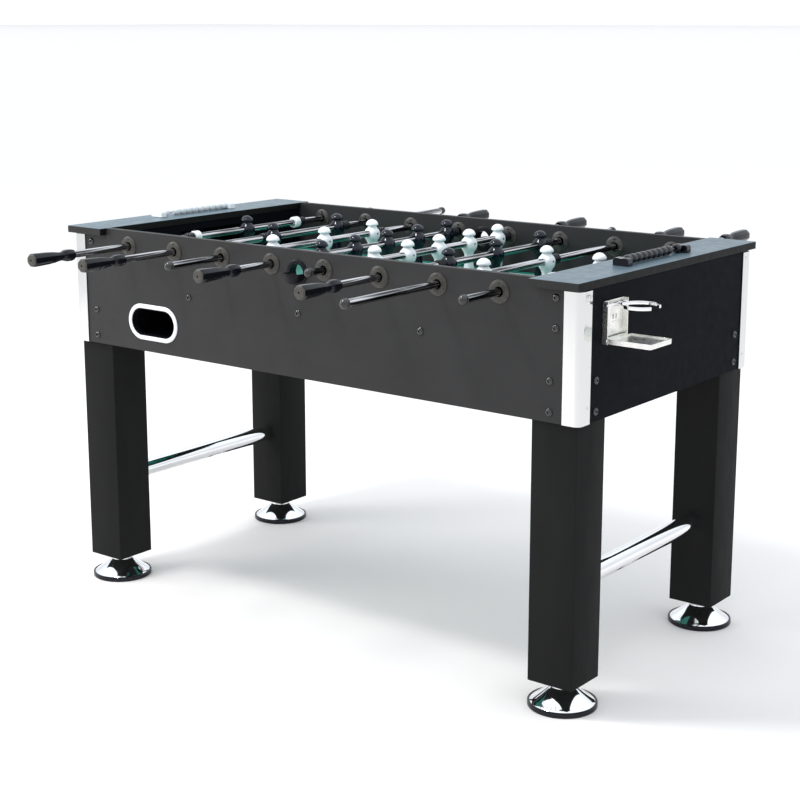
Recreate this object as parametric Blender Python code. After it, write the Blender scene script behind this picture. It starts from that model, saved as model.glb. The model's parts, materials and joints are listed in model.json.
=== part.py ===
"""Foosball table with eight playing rods, in metres.

The origin is the centre of the playing surface. +X runs along the table, +Y runs
across it towards the white team's side, and +Z is up. Each sub-part is one object.
A moving sub-part has its origin on the axis of its joint.
"""
from math import cos, pi, sin

import bmesh
import bpy
from mathutils import Matrix, Vector

# ---------------------------------------------------------------- driving dimensions
TABLE_LENGTH = 1.400        # over the outer faces of the end panels
TABLE_WIDTH = 0.700         # over the outer faces of the side panels
TABLE_HEIGHT = 0.870        # floor to the top of the ledges
APRON_HEIGHT = 0.277        # bottom of the cabinet to the top of the ledges
PLAY_DEPTH = 0.119          # top of the ledges down to the playing surface
PANEL = 0.015               # board thickness of the cabinet
GAP = 0.0003                # clearance between pieces that touch

# ------------------------------------------------------------------ levels and faces
HALF_L = TABLE_LENGTH / 2
HALF_W = TABLE_WIDTH / 2
INNER_L = HALF_L - PANEL
INNER_W = HALF_W - PANEL
TOP_Z = PLAY_DEPTH
BOTTOM_Z = TOP_Z - APRON_HEIGHT
FLOOR_Z = TOP_Z - TABLE_HEIGHT

# ------------------------------------------------------------------------- cabinet
LEDGE_T = 0.016
LEDGE_W = 0.112
LEDGE_END_OVERHANG = 0.005
LEDGE_SIDE_OVERHANG = 0.018
LEDGE_INNER_X = HALF_L + LEDGE_END_OVERHANG - LEDGE_W
PANEL_CORNER = 0.011        # bevel on the outer corners, under the rounded trims
PLAYFIELD_T = 0.009
BATTEN = 0.020
BATTEN_HALF_L = 0.345
GOAL_WALL_T = 0.012
GOAL_WALL_X = LEDGE_INNER_X + 0.003
GOAL_HALF_W = 0.105
GOAL_H = 0.085

TRIM_ARM = 0.036
TRIM_T = 0.0027
TRIM_R = 0.014
TRIM_TOP_DROP = 0.003       # below the underside of the ledge

PORT_X = 0.444              # centre of the ball-return port, left on the near side
PORT_Z = -0.089
PORT_HALF_L = 0.0690
PORT_HALF_H = 0.0315
BEZEL_RIM = 0.0105
BEZEL_T = 0.0030

TRAY_WALL = 0.003
TRAY_TOP_Z = -0.0125
TRAY_MOUTH_Z = -0.128       # underside of the tray floor at the port
TRAY_SLOPE = 0.10
TRAY_HALF_W = 0.120         # half width of the catch box behind the goal
TRAY_INNER_X = 0.365
TRAY_CHUTE_X = 0.520

SERVE_Z = 0.071
SERVE_HOLE_R = 0.0225
SERVE_BORE_R = 0.0190
SERVE_FLANGE_R = 0.0280
SERVE_FLANGE_T = 0.0030
SERVE_SCOOP_REACH = 0.030   # how far the scoop stands out from the panel
SERVE_SCOOP_BEND = 0.014    # the closed outer end, where the scoop rounds off
# the bowl at the scoop's end: (share of the radius, distance from the tip)
SERVE_BOWL_OUTSIDE = ((0.32, 0.0), (0.72, 0.0030), (0.93, 0.0080))
SERVE_BOWL_INSIDE = ((0.25, 0.0030), (0.65, 0.0055), (0.90, 0.0100), (1.0, 0.0150))

# -------------------------------------------------------------------- legs and feet
LEG_SIDE = 0.103
LEG_INSET = 0.006
FOOT_HEIGHT = 0.057         # floor to the underside of a leg
LEG_BOTTOM_Z = FLOOR_Z + FOOT_HEIGHT
TENON_OUT = 0.0003          # gap from the tenon to the panels' inner faces
TENON_SIDE = 0.073
TENON_TOP_Z = -0.060
STEM_R = 0.0060
STEM_BORE_R = 0.0070
STEM_LENGTH = 0.045
STEM_BORE_DEPTH = 0.060
FOOT_R = 0.071
FOOT_RIM_H = 0.010
FOOT_SHELL = 0.004          # wall of the hollow cone
STRETCHER_R = 0.0210
STRETCHER_WALL = 0.0020
STRETCHER_RISE = 0.250      # floor to the middle of a stretcher
STRETCHER_Z = FLOOR_Z + STRETCHER_RISE

# --------------------------------------------------------------------------- rods
ROD_PITCH = 0.1475
ROD_DROP = 0.036            # top of the ledges down to the rods' axes
ROD_Z = TOP_Z - ROD_DROP
ROD_R = 0.00795
ROD_BORE_R = 0.0065
RUNNING_R = 0.0088          # hole for a turning rod
ROUND = 12                  # sides of the rods, their holes and what is on them
BEARING_R = 0.0235
BEARING_OUT_T = 0.0030
BEARING_IN_T = 0.0020
CAP_R = 0.0100
CAP_LENGTH = 0.016
HANDLE_LENGTH = 0.118
HANDLE_SOCKET = 0.100
HANDLE_BORE_R = 0.0086
COLLAR_R = 0.0140
COLLAR_LENGTH = 0.018
BUMPER_R = 0.0115
BUMPER_LENGTH = 0.024
CAP_ROUND = 0.004            # length of a cap's rounded end
TUBE_END_ROOM = 0.002        # between a tube and the end of its handle's socket
MAN_HALF_W = 0.018

# One entry for each kind of rod: where its men sit along it, where it stops
# against its bumpers, how far its capped tip and its handle's end are from its middle.
ROD_KINDS = {
    "goalie": {"men": (0.0,), "collar": 0.180, "tip": 0.500, "handle": 0.683},
    "two": {"men": (-0.119, 0.119), "collar": None, "tip": 0.575, "handle": 0.722},
    "three": {"men": (-0.180, 0.0, 0.180), "collar": None, "tip": 0.517, "handle": 0.665},
    "five": {"men": (-0.235, -0.1175, 0.0, 0.1175, 0.235), "collar": None,
             "tip": 0.463, "handle": 0.623},
}
# Rods from left to right: kind, team, and how far the rod is pushed along +Y at rest.
RODS = (
    ("goalie", "dark", 0.047),
    ("two", "dark", 0.100),
    ("three", "white", -0.002),
    ("five", "dark", 0.050),
    ("five", "white", 0.0545),
    ("three", "dark", 0.068),
    ("two", "white", -0.072),
    ("goalie", "white", 0.021),
)

# ------------------------------------------------------------------ scorer, cup holder
SCORER_HALF_L = 0.130
SCORER_BLOCK = 0.0175
SCORER_BLOCK_HALF_W = 0.018
SCORER_BLOCK_TOP = 0.006   # above the rod's axis
SCORER_BLOCK_SLOPE = 0.006  # run of a block's sloped shoulders
SCORER_ROD_R = 0.0030
SCORER_X = LEDGE_INNER_X + LEDGE_W / 2 + 0.0045
SCORER_Z = TOP_Z + 0.0100
BEAD_PITCH = 0.0205
BEAD_R = 0.0095
BEAD_GROOVE = 0.74          # groove radius over bead radius
BEAD_BORE_R = 0.0038
BEADS_TOGETHER = 9

HOLDER_Y = -0.2345
HOLDER_HALF_W = 0.0385
HOLDER_LOW_Z = -0.0095
HOLDER_HIGH_Z = 0.0725
HOLDER_T = 0.002
HOLDER_DEPTH = 0.012
HINGE_X = HALF_L + 0.0088
HOOP_Z = 0.0657
HOOP_REACH = 0.051          # hinge to the middle of the hoop
HOOP_R = 0.0350
HOOP_T = 0.0035
HOOP_H = 0.0070
HOOP_OPEN = 0.50            # half angle of the hoop's open front, in radians
HOOP_STRAP_Y = 0.013        # the two straps that carry the hoop on its bar
HOOP_STRAP_HALF_W = 0.003
SHELF_Z = -0.0026
SHELF_LENGTH = 0.0984       # from its hinge
SHELF_HALF_W = 0.0415
SHELF_TONGUE = 0.0085       # the narrower part that reaches back between the cheeks
SHELF_TONGUE_HALF_W = 0.0360
SHELF_H = 0.0098
SHELF_CORNER = 0.003
SHELF_RIM = 0.003
SHELF_WELL = 0.0030
PIN_R = 0.0020


# ----------------------------------------------------------------------- materials
def make_material(name, colour, roughness, metallic=0.0):
    material = bpy.data.materials.new(name)
    material.use_nodes = True
    shader = material.node_tree.nodes["Principled BSDF"]
    shader.inputs["Base Color"].default_value = (*colour, 1.0)
    shader.inputs["Roughness"].default_value = roughness
    shader.inputs["Metallic"].default_value = metallic
    material.diffuse_color = (*colour, 1.0)
    return material


# --------------------------------------------------------------------- mesh helpers
def skin(rings, ring_closed=False):
    """Join equal rings of points into one closed surface. The ends get caps,
    or the last ring meets the first when ring_closed is true."""
    shape = bmesh.new()
    loops = [[shape.verts.new(point) for point in ring] for ring in rings]
    count = len(loops[0])
    pairs = list(zip(loops, loops[1:]))
    if ring_closed:
        pairs.append((loops[-1], loops[0]))
    for low, high in pairs:
        for i in range(count):
            j = (i + 1) % count
            shape.faces.new((low[i], low[j], high[j], high[i]))
    if not ring_closed:
        shape.faces.new(reversed(loops[0]))
        shape.faces.new(loops[-1])
    bmesh.ops.recalc_face_normals(shape, faces=shape.faces)
    return shape


def circle(radius, height, segments):
    """A ring of points about +Z with flats at its four sides."""
    start = pi / segments
    step = 2 * pi / segments
    angles = [start + step * i for i in range(segments)]
    return [Vector((radius * cos(a), radius * sin(a), height)) for a in angles]


def turned(profile, segments, ring_closed=False):
    """Solid of revolution about +Z from (radius, height) points."""
    return skin([circle(r, h, segments) for r, h in profile], ring_closed)


def chamfered(half_x, half_y, height, corner=0.35):
    """An eight-sided ring: a rectangle with its corners cut."""
    cut = corner * min(half_x, half_y)
    quarter = [(half_x, half_y - cut), (half_x - cut, half_y)]
    points = []
    for sx, sy in ((1, 1), (-1, 1), (-1, -1), (1, -1)):
        pair = quarter if sx * sy > 0 else quarter[::-1]
        points += [Vector((sx * x, sy * y, height)) for x, y in pair]
    return points


def prism(outline, low, high):
    """Extrude an outline of (x, y) points from z low to z high."""
    return skin([[Vector((x, y, z)) for x, y in outline] for z in (low, high)])


def block(low, high):
    """A box between two corners."""
    outline = ((low[0], low[1]), (high[0], low[1]), (high[0], high[1]), (low[0], high[1]))
    return prism(outline, low[2], high[2])


def moved(shape, offset=(0, 0, 0), turn=None):
    """Turn a shape about the origin, then shift it."""
    matrix = Matrix.Translation(Vector(offset))
    if turn:
        matrix = matrix @ Matrix.Rotation(turn[0], 4, turn[1])
    bmesh.ops.transform(shape, matrix=matrix, verts=shape.verts)
    return shape


def along_y(shape):
    """Lay a shape that was made along +Z down along +Y."""
    return moved(shape, turn=(-pi / 2, "X"))


def stadium(half_length, half_height, steps=6):
    """Outline of a slot with round ends, lying along x."""
    reach = half_length - half_height
    points = []
    for side in (1, -1):
        for i in range(steps + 1):
            a = pi * i / steps - side * pi / 2
            points.append((side * reach + half_height * cos(a), half_height * sin(a)))
    return points


def new_object(name, shape, material=None, location=(0, 0, 0)):
    mesh = bpy.data.meshes.new(name)
    shape.to_mesh(mesh)
    shape.free()
    made = bpy.data.objects.new(name, mesh)
    made.location = location
    bpy.context.scene.collection.objects.link(made)
    if material:
        mesh.materials.append(material)
    return made


def combine(target, tools, operation):
    """Apply one exact Boolean of the target with several tool shapes."""
    joined = bpy.data.meshes.new("tools")
    merged = bmesh.new()
    for shape in tools:
        piece = bpy.data.meshes.new("tool")
        shape.to_mesh(piece)
        shape.free()
        merged.from_mesh(piece)
        bpy.data.meshes.remove(piece)
    merged.to_mesh(joined)
    merged.free()
    tool = bpy.data.objects.new("tool", joined)
    tool.location = target.location
    bpy.context.scene.collection.objects.link(tool)
    modifier = target.modifiers.new(operation.lower(), "BOOLEAN")
    modifier.operation = operation
    modifier.solver = "EXACT"
    modifier.use_self = operation == "UNION"
    modifier.object = tool
    bpy.context.view_layer.update()
    graph = bpy.context.evaluated_depsgraph_get()
    result = bpy.data.meshes.new_from_object(target.evaluated_get(graph))
    target.modifiers.remove(modifier)
    target.data = result
    bpy.data.objects.remove(tool)
    return target


def smooth(item, angle=0.6):
    item.data.shade_smooth()
    item.data.set_sharp_from_angle(angle=angle)


# ------------------------------------------------------------------------- cabinet
def rod_x(index):
    return (index - (len(RODS) - 1) / 2) * ROD_PITCH


def side_panel(name, turn, material):
    """One long side with its rod bearings, serve hole and return port. It is made
    as the near side, and the far side is the same board turned half round."""
    notch_x = LEDGE_INNER_X - GAP
    notch_z = TOP_Z - LEDGE_T - GAP
    outline = [
        (-HALF_L, BOTTOM_Z), (HALF_L, BOTTOM_Z), (HALF_L, notch_z), (notch_x, notch_z),
        (notch_x, TOP_Z), (-notch_x, TOP_Z), (-notch_x, notch_z), (-HALF_L, notch_z),
    ]
    board = moved(prism(outline, INNER_W, HALF_W), turn=(pi / 2, "X"))
    corners = [
        edge for edge in board.edges
        if all(abs(v.co.y + HALF_W) < GAP and abs(abs(v.co.x) - HALF_L) < GAP
               for v in edge.verts)
        and abs(edge.verts[0].co.z - edge.verts[1].co.z) > PANEL
    ]
    bmesh.ops.bevel(board, geom=corners, offset=PANEL_CORNER, segments=1, affect="EDGES")
    panel = new_object(name, board, material)
    middle = -(HALF_W + INNER_W) / 2
    bearings = []
    holes = []
    for i in range(len(RODS)):
        flange = turned(((BEARING_R, -HALF_W - BEARING_OUT_T),
                         (BEARING_R, -INNER_W + BEARING_IN_T)), ROUND)
        bearings.append(moved(along_y(flange), (rod_x(i), 0, ROD_Z)))
        hole = turned(((RUNNING_R, middle - PANEL), (RUNNING_R, middle + PANEL)), ROUND)
        holes.append(moved(along_y(hole), (rod_x(i), 0, ROD_Z)))
    serve = turned(((SERVE_HOLE_R, middle - PANEL), (SERVE_HOLE_R, middle + PANEL)), 16)
    holes.append(moved(along_y(serve), (0, 0, SERVE_Z)))
    port = prism(stadium(PORT_HALF_L, PORT_HALF_H), -middle - PANEL, -middle + PANEL)
    holes.append(moved(moved(port, turn=(pi / 2, "X")), (-PORT_X, 0, PORT_Z)))
    combine(panel, bearings, "UNION")
    combine(panel, holes, "DIFFERENCE")
    panel.rotation_euler.z = turn
    smooth(panel)
    return panel


def end_panel(name, side, material):
    half = INNER_W - GAP
    high = TOP_Z - LEDGE_T - GAP
    low_x, high_x = sorted((side * INNER_L, side * HALF_L))
    return new_object(name, block((low_x, -half, BOTTOM_Z), (high_x, half, high)), material)


def goal_wall(name, side, material):
    """Inner end wall of the pitch. It stands against the end of the pitch board, and the
    goal mouth is cut up from its lower edge."""
    half = INNER_W - GAP
    low = -PLAYFIELD_T
    high = TOP_Z - LEDGE_T - GAP
    outline = [
        (-half, low), (-GOAL_HALF_W, low), (-GOAL_HALF_W, GOAL_H), (GOAL_HALF_W, GOAL_H),
        (GOAL_HALF_W, low), (half, low), (half, high), (-half, high),
    ]
    wall = skin([[Vector((side * x, y, z)) for y, z in outline]
                 for x in (GOAL_WALL_X, GOAL_WALL_X + GOAL_WALL_T)])
    return new_object(name, wall, material)


def top_ledge(name, side, material):
    half = HALF_W + LEDGE_SIDE_OVERHANG
    low_x, high_x = sorted((side * LEDGE_INNER_X, side * (LEDGE_INNER_X + LEDGE_W)))
    board = block((low_x, -half, TOP_Z - LEDGE_T), (high_x, half, TOP_Z))
    return new_object(name, board, material)


def playfield(material):
    """The pitch board, with the stiffening battens glued under its long edges."""
    half_l = GOAL_WALL_X - GAP
    half_w = INNER_W - GAP
    board = new_object("playfield", block((-half_l, -half_w, -PLAYFIELD_T),
                                          (half_l, half_w, 0)), material)
    battens = []
    for side in (-1, 1):
        low_y, high_y = sorted((side * half_w, side * (half_w - BATTEN)))
        battens.append(block((-BATTEN_HALF_L, low_y, -PLAYFIELD_T - BATTEN),
                             (BATTEN_HALF_L, high_y, -PLAYFIELD_T / 2)))
    return combine(board, battens, "UNION")


def corner_trim(name, side_x, side_y, material):
    """Rounded corner profile over a cabinet corner, open towards the cabinet."""
    outer = GAP + TRIM_T
    steps = 5
    centre = outer - TRIM_R
    outline = [(outer, -TRIM_ARM), (GAP, -TRIM_ARM)]
    inner = TRIM_R - TRIM_T
    for i in range(steps + 1):
        a = pi / 2 * i / steps
        outline.append((centre + inner * cos(a), centre + inner * sin(a)))
    outline += [(-TRIM_ARM, GAP), (-TRIM_ARM, outer)]
    for i in range(steps + 1):
        a = pi / 2 - pi / 2 * i / steps
        outline.append((centre + TRIM_R * cos(a), centre + TRIM_R * sin(a)))
    placed = [(side_x * (HALF_L + u), side_y * (HALF_W + v)) for u, v in outline]
    high = TOP_Z - LEDGE_T - TRIM_TOP_DROP
    trim = new_object(name, prism(placed, BOTTOM_Z, high), material)
    smooth(trim)
    return trim


def return_bezel(name, side, material):
    """Slot-shaped rim round a ball-return port, on the outside of a side panel."""
    face = HALF_W + GAP
    rings = []
    for grow, out in ((0.0, 0.0), (BEZEL_RIM, 0.0), (BEZEL_RIM, BEZEL_T), (0.0, BEZEL_T)):
        outline = stadium(PORT_HALF_L + grow, PORT_HALF_H + grow)
        rings.append([Vector((side * (PORT_X + x), side * (face + out), PORT_Z + z))
                      for x, z in outline])
    bezel = new_object(name, skin(rings, ring_closed=True), material)
    smooth(bezel)
    return bezel


def return_tray(name, side, material):
    """Sloped open tray that catches the ball behind a goal and leads it to the port.
    It is made for the left goal and the near port, and turned for the other end."""
    back_x = INNER_L - GAP
    front_y = INNER_W - GAP

    def tray_outline(inset, front_extra):
        return [
            (-back_x + inset, TRAY_HALF_W - inset), (-back_x + inset, -TRAY_HALF_W + inset),
            (-TRAY_CHUTE_X + inset, -TRAY_HALF_W + inset),
            (-TRAY_CHUTE_X + inset, -front_y - front_extra),
            (-TRAY_INNER_X - inset, -front_y - front_extra),
            (-TRAY_INNER_X - inset, TRAY_HALF_W - inset),
        ]

    def sloped(outline, lift, high):
        low_ring = [Vector((x, y, TRAY_MOUTH_Z + lift + TRAY_SLOPE * (y + front_y)))
                    for x, y in outline]
        return skin([low_ring, [Vector((x, y, high)) for x, y in outline]])

    tray = new_object(name, sloped(tray_outline(0, 0), 0, TRAY_TOP_Z), material)
    hollow = sloped(tray_outline(TRAY_WALL, PANEL), TRAY_WALL, TRAY_TOP_Z + PANEL)
    combine(tray, [hollow], "DIFFERENCE")
    tray.rotation_euler.z = 0 if side < 0 else pi
    return tray


def serve_cup(name, turn, material):
    """Ball-entry cup through a side panel: sleeve, flange, and a half-bowl scoop."""
    face = -HALF_W - GAP
    radius = SERVE_HOLE_R - GAP
    front = face - SERVE_FLANGE_T
    tip = face - SERVE_SCOOP_REACH
    bend = tip + SERVE_SCOOP_BEND
    bowl = [(radius * share, tip + depth) for share, depth in SERVE_BOWL_OUTSIDE]
    profile = bowl + [(radius, bend), (radius, front), (SERVE_FLANGE_R, front),
                      (SERVE_FLANGE_R, face), (radius, face), (radius, -INNER_W - GAP)]
    cup = new_object(name, along_y(turned(profile, 16)), material, (0, 0, SERVE_Z))
    hollow = [(SERVE_BORE_R * share, tip + depth) for share, depth in SERVE_BOWL_INSIDE]
    hollow.append((SERVE_BORE_R, 0))
    bore = along_y(turned(hollow, 16))
    upper = block((-HALF_L, tip - PANEL, 0), (HALF_L, front - GAP, PANEL * 4))
    combine(cup, [bore], "DIFFERENCE")
    combine(cup, [upper], "DIFFERENCE")
    cup.rotation_euler.z = turn
    smooth(cup)
    return cup


# -------------------------------------------------------------------- legs and feet
def leg_centre(side_x, side_y):
    half = LEG_SIDE / 2
    return (side_x * (HALF_L - LEG_INSET - half), side_y * (HALF_W - LEG_INSET - half))


def leg(name, side_x, side_y, material):
    """Square leg with a tenon inside the cabinet corner and a bore for its foot."""
    cx, cy = leg_centre(side_x, side_y)
    half = LEG_SIDE / 2
    post = block((cx - half, cy - half, LEG_BOTTOM_Z), (cx + half, cy + half, BOTTOM_Z - GAP))
    item = new_object(name, post, material)
    far_x = side_x * (INNER_L - TENON_OUT)
    far_y = side_y * (INNER_W - TENON_OUT)
    low_x, high_x = sorted((far_x, far_x - side_x * TENON_SIDE))
    low_y, high_y = sorted((far_y, far_y - side_y * TENON_SIDE))
    tenon = block((low_x, low_y, BOTTOM_Z - PANEL), (high_x, high_y, TENON_TOP_Z))
    combine(item, [tenon], "UNION")
    bore = turned(((STEM_BORE_R, LEG_BOTTOM_Z - PANEL),
                   (STEM_BORE_R, LEG_BOTTOM_Z + STEM_BORE_DEPTH)), 12)
    combine(item, [moved(bore, (cx, cy, 0))], "DIFFERENCE")
    return item


def leveling_foot(name, side_x, side_y, material):
    """Screw-in foot: wide hollow cone with a rim, a solid boss and a threaded stem."""
    cx, cy = leg_centre(side_x, side_y)
    top = LEG_BOTTOM_Z - GAP
    height = top - FLOOR_Z
    profile = (
        (FOOT_R - 0.002, 0.0), (FOOT_R, 0.002), (FOOT_R, FOOT_RIM_H),
        (FOOT_R - 0.004, FOOT_RIM_H + 0.002), (0.026, height - 0.017),
        (0.024, height), (STEM_R, height), (STEM_R, height + STEM_LENGTH),
    )
    foot = new_object(name, turned(profile, 20), material, (cx, cy, FLOOR_Z))
    hollow = turned(((FOOT_R - 2 * FOOT_SHELL, -FOOT_RIM_H),
                     (FOOT_R - 2 * FOOT_SHELL, FOOT_RIM_H - FOOT_SHELL),
                     (0.026 - FOOT_SHELL, height - 0.017 - FOOT_SHELL)), 20)
    combine(foot, [hollow], "DIFFERENCE")
    smooth(foot)
    return foot


def stretcher(name, side_x, material):
    cx, cy = leg_centre(side_x, 1)
    reach = cy - LEG_SIDE / 2 - GAP
    inner = STRETCHER_R - STRETCHER_WALL
    profile = ((inner, -reach), (STRETCHER_R, -reach), (STRETCHER_R, reach), (inner, reach))
    tube = along_y(turned(profile, 16, ring_closed=True))
    item = new_object(name, tube, material, (cx, 0, STRETCHER_Z))
    smooth(item)
    return item


# ---------------------------------------------------------------------------- rods
def playing_man():
    """Plain figure: block foot, leg, chest round the rod, neck and domed head."""
    sections = (
        (-0.071, 0.0095, 0.0115), (-0.052, 0.0075, 0.0110), (-0.018, 0.0085, 0.0125),
        (-0.006, 0.0160, MAN_HALF_W), (0.006, 0.0160, MAN_HALF_W), (0.016, 0.0100, 0.0100),
        (0.020, 0.0150, 0.0150), (0.034, 0.0075, 0.0075),
    )
    return skin([chamfered(hx, hy, z) for z, hx, hy in sections])


def stop_y(kind):
    """Distance from a rod's middle to the face its bumper sits against."""
    if kind["collar"]:
        return kind["collar"] + COLLAR_LENGTH / 2
    return max(kind["men"]) + MAN_HALF_W


def playing_rod(number, kind, turn, place, material):
    """Tube with its men, stop collars, handle-side bumper and end cap pinned on."""
    tube_end = kind["handle"] - HANDLE_LENGTH + HANDLE_SOCKET - TUBE_END_ROOM
    tip = kind["tip"]
    cap_start = tip - CAP_LENGTH
    profile = ((ROD_R, -tube_end), (ROD_R, cap_start), (CAP_R, cap_start),
               (CAP_R, tip - CAP_ROUND), (CAP_R * 0.7, tip))
    rod = new_object(f"rod_{number}", along_y(turned(profile, ROUND)), material, place)
    fittings = [moved(playing_man(), (0, y, 0)) for y in kind["men"]]
    if kind["collar"]:
        for side in (-1, 1):
            low = side * kind["collar"] - COLLAR_LENGTH / 2
            ring = turned(((COLLAR_R, low), (COLLAR_R, low + COLLAR_LENGTH)), ROUND)
            fittings.append(along_y(ring))
    low = -stop_y(kind) - BUMPER_LENGTH - GAP
    ring = turned(((BUMPER_R, low), (BUMPER_R, low + BUMPER_LENGTH)), ROUND)
    fittings.append(along_y(ring))
    combine(rod, fittings, "UNION")
    bore = turned(((ROD_BORE_R, -tube_end - PANEL), (ROD_BORE_R, cap_start - PANEL)), ROUND)
    combine(rod, [along_y(bore)], "DIFFERENCE")
    rod.rotation_euler.z = turn
    smooth(rod)
    return rod


def handle(number, kind, turn, place, material):
    """Eight-sided grip with a waist and a flared collar, closed at its outer end."""
    end = -kind["handle"]
    stations = ((0.0, 0.0125), (0.004, 0.0153), (0.020, 0.0153), (0.050, 0.0140),
                (0.080, 0.0105), (0.086, 0.0105), (0.096, 0.0137), (0.109, 0.0137),
                (HANDLE_LENGTH, 0.0118))
    grip = along_y(turned([(r, end + s) for s, r in stations], 8))
    item = new_object(f"handle_{number}", grip, material, place)
    mouth = end + HANDLE_LENGTH
    socket = turned(((HANDLE_BORE_R, mouth - HANDLE_SOCKET), (HANDLE_BORE_R, mouth + PANEL)),
                    ROUND)
    combine(item, [along_y(socket)], "DIFFERENCE")
    item.rotation_euler.z = turn
    smooth(item, 0.3)
    return item


def bumper(number, kind, turn, place, material):
    """Rubber sleeve that rides loose on the rod beside its capped end."""
    low = stop_y(kind) + GAP
    profile = ((RUNNING_R, low), (BUMPER_R, low), (BUMPER_R, low + BUMPER_LENGTH),
               (RUNNING_R, low + BUMPER_LENGTH))
    ring = along_y(turned(profile, ROUND, ring_closed=True))
    item = new_object(f"bumper_{number}", ring, material, place)
    item.rotation_euler.z = turn
    smooth(item)
    return item


# --------------------------------------------------------------------------- scorers
def scorer(side, material):
    """Abacus scorer on a ledge: two end blocks, the rod between them and the bead
    that is parked against the far block."""
    name = "right_scorer_rail" if side > 0 else "left_scorer_rail"
    place = (side * SCORER_X, 0, SCORER_Z)
    reach = SCORER_HALF_L
    rod = along_y(turned(((SCORER_ROD_R, -reach + GAP), (SCORER_ROD_R, reach - GAP)), 8))
    rail = new_object(name, rod, material, place)
    near = scorer_block(-1)
    far = scorer_block(1)
    parked = reach - SCORER_BLOCK
    bead = along_y(turned(bead_outline(1, parked - BEAD_PITCH + GAP), 8))
    combine(rail, [near, far, bead], "UNION")
    rail.rotation_euler.z = 0 if side > 0 else pi
    smooth(rail)
    return rail


def scorer_block(side):
    """Wide, low end block of a scorer, with sloped shoulders."""
    foot_z = TOP_Z + GAP - SCORER_Z
    half = SCORER_BLOCK_HALF_W
    flat = half - SCORER_BLOCK_SLOPE
    outline = ((-half, foot_z), (half, foot_z), (half, 0), (flat, SCORER_BLOCK_TOP),
               (-flat, SCORER_BLOCK_TOP), (-half, 0))
    low_y, high_y = sorted((side * SCORER_HALF_L, side * (SCORER_HALF_L - SCORER_BLOCK)))
    return skin([[Vector((x, y, z)) for x, z in outline] for y in (low_y, high_y)])


def bead_outline(count, start):
    """Outer profile of a row of beads: a groove between each two, a rib on each."""
    points = []
    for i in range(count):
        low = start + i * BEAD_PITCH
        points += [(BEAD_R * BEAD_GROOVE, low), (BEAD_R, low + BEAD_PITCH * 0.25),
                   (BEAD_R, low + BEAD_PITCH * 0.75)]
    points.append((BEAD_R * BEAD_GROOVE, start + count * BEAD_PITCH - GAP))
    return points


def scorer_beads(side, material):
    name = "right_scorer_beads" if side > 0 else "left_scorer_beads"
    start = -SCORER_HALF_L + SCORER_BLOCK + GAP
    outer = bead_outline(BEADS_TOGETHER, start)
    profile = [(BEAD_BORE_R, outer[-1][1]), (BEAD_BORE_R, outer[0][1])] + outer
    beads = new_object(name, along_y(turned(profile, 8, ring_closed=True)), material,
                       (side * SCORER_X, 0, SCORER_Z))
    beads.rotation_euler.z = 0 if side > 0 else pi
    smooth(beads)
    return beads


# ------------------------------------------------------------------------ cup holder
def holder_plate(material):
    """Back plate with two side cheeks that carry the hinge pins."""
    face = HALF_L + GAP
    low_y, high_y = HOLDER_Y - HOLDER_HALF_W, HOLDER_Y + HOLDER_HALF_W
    out = face + HOLDER_DEPTH
    outline = [
        (face, low_y), (out, low_y), (out, low_y + HOLDER_T),
        (face + HOLDER_T, low_y + HOLDER_T), (face + HOLDER_T, high_y - HOLDER_T),
        (out, high_y - HOLDER_T), (out, high_y), (face, high_y),
    ]
    return new_object("cup_holder_plate", prism(outline, HOLDER_LOW_Z, HOLDER_HIGH_Z), material)


def holder_hoop(material):
    """C-shaped hoop on two straps, which folds down about the bar at the plate's top."""
    half_bar = HOLDER_HALF_W - HOLDER_T - GAP
    bar = along_y(turned(((PIN_R * 1.4, -half_bar), (PIN_R * 1.4, half_bar)), 12))
    place = (HINGE_X, HOLDER_Y, HOOP_Z)
    hoop = new_object("cup_holder_hoop", bar, material, place)
    steps = 16
    rings = []
    for i in range(steps + 1):
        a = HOOP_OPEN + (2 * pi - 2 * HOOP_OPEN) * i / steps
        ring = []
        for r, z in ((HOOP_R, -HOOP_H / 2), (HOOP_R + HOOP_T, -HOOP_H / 2),
                     (HOOP_R + HOOP_T, HOOP_H / 2), (HOOP_R, HOOP_H / 2)):
            ring.append(Vector((HOOP_REACH + r * cos(a), r * sin(a), z)))
        rings.append(ring)
    shapes = [skin(rings)]
    strap_x = HOOP_REACH - HOOP_R
    strap_z = HOOP_H / 2 - GAP
    for side in (-1, 1):
        low_y = side * HOOP_STRAP_Y - HOOP_STRAP_HALF_W
        shapes.append(block((0, low_y, -strap_z),
                            (strap_x, low_y + 2 * HOOP_STRAP_HALF_W, strap_z)))
    combine(hoop, shapes, "UNION")
    smooth(hoop)
    return hoop


def holder_shelf(material):
    """Tray under the cup with a shallow well, hinged at the bottom of the plate."""

    def front_corners(inset):
        half_w = SHELF_HALF_W - inset
        far = SHELF_LENGTH - inset
        return [(far - SHELF_CORNER, -half_w), (far, -half_w + SHELF_CORNER),
                (far, half_w - SHELF_CORNER), (far - SHELF_CORNER, half_w)]

    tongue = SHELF_TONGUE_HALF_W
    outline = [(-PIN_R, -tongue), (SHELF_TONGUE, -tongue), (SHELF_TONGUE, -SHELF_HALF_W)]
    outline += front_corners(0)
    outline += [(SHELF_TONGUE, SHELF_HALF_W), (SHELF_TONGUE, tongue), (-PIN_R, tongue)]
    place = (HINGE_X, HOLDER_Y, SHELF_Z)
    high = SHELF_H / 2
    shelf = new_object("cup_holder_shelf", prism(outline, -high, high), material, place)
    back = SHELF_TONGUE + SHELF_RIM
    inner = SHELF_HALF_W - SHELF_RIM
    well = [(back, -inner)] + front_corners(SHELF_RIM) + [(back, inner)]
    combine(shelf, [prism(well, high - SHELF_WELL, high + SHELF_H)], "DIFFERENCE")
    return shelf


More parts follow.
